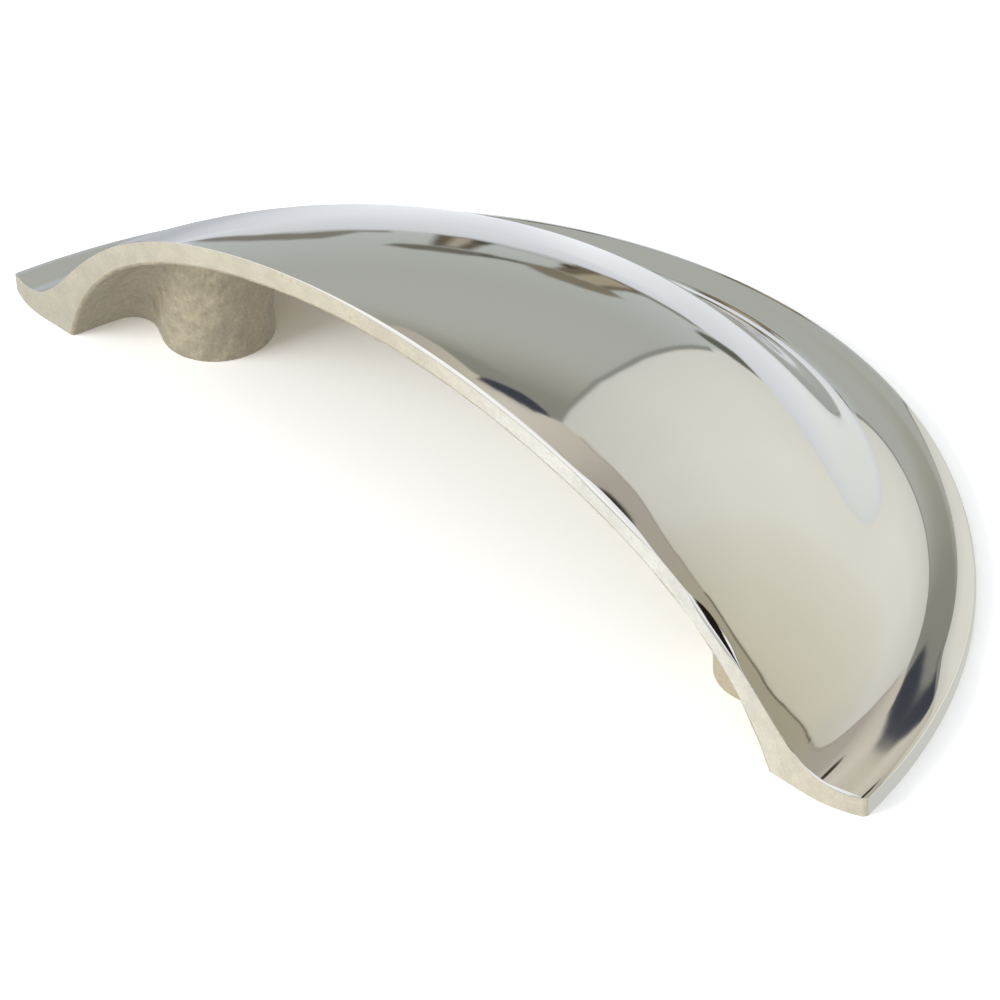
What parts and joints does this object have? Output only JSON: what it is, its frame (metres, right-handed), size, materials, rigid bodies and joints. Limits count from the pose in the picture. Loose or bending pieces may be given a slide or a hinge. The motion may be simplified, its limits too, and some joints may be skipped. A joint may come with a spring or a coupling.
{
  "type": "cup pull",
  "caption": "One-piece half-moon cup pull for a drawer: a domed ogee shell with a flanged rim, open along its lower edge for the fingers, with blind threaded bosses inside.",
  "frame": {"origin": "midway between the two fixing holes, on the plane that is drawn against the drawer front", "axes": "+Z away from the drawer front, +X along the length, -Y towards the opening for the fingers, +Y towards the arched rim"},
  "size_m": [0.0974, 0.0435, 0.0213],
  "materials": {
    "nickel_plated_casting": "polished nickel plate on the outer skin; as-cast, dull and slightly rough on the lip, the feet, the bosses and the inside"
  },
  "bodies": {
    "root": {"cup_pull": "nickel_plated_casting"}
  },
  "joints": []
}
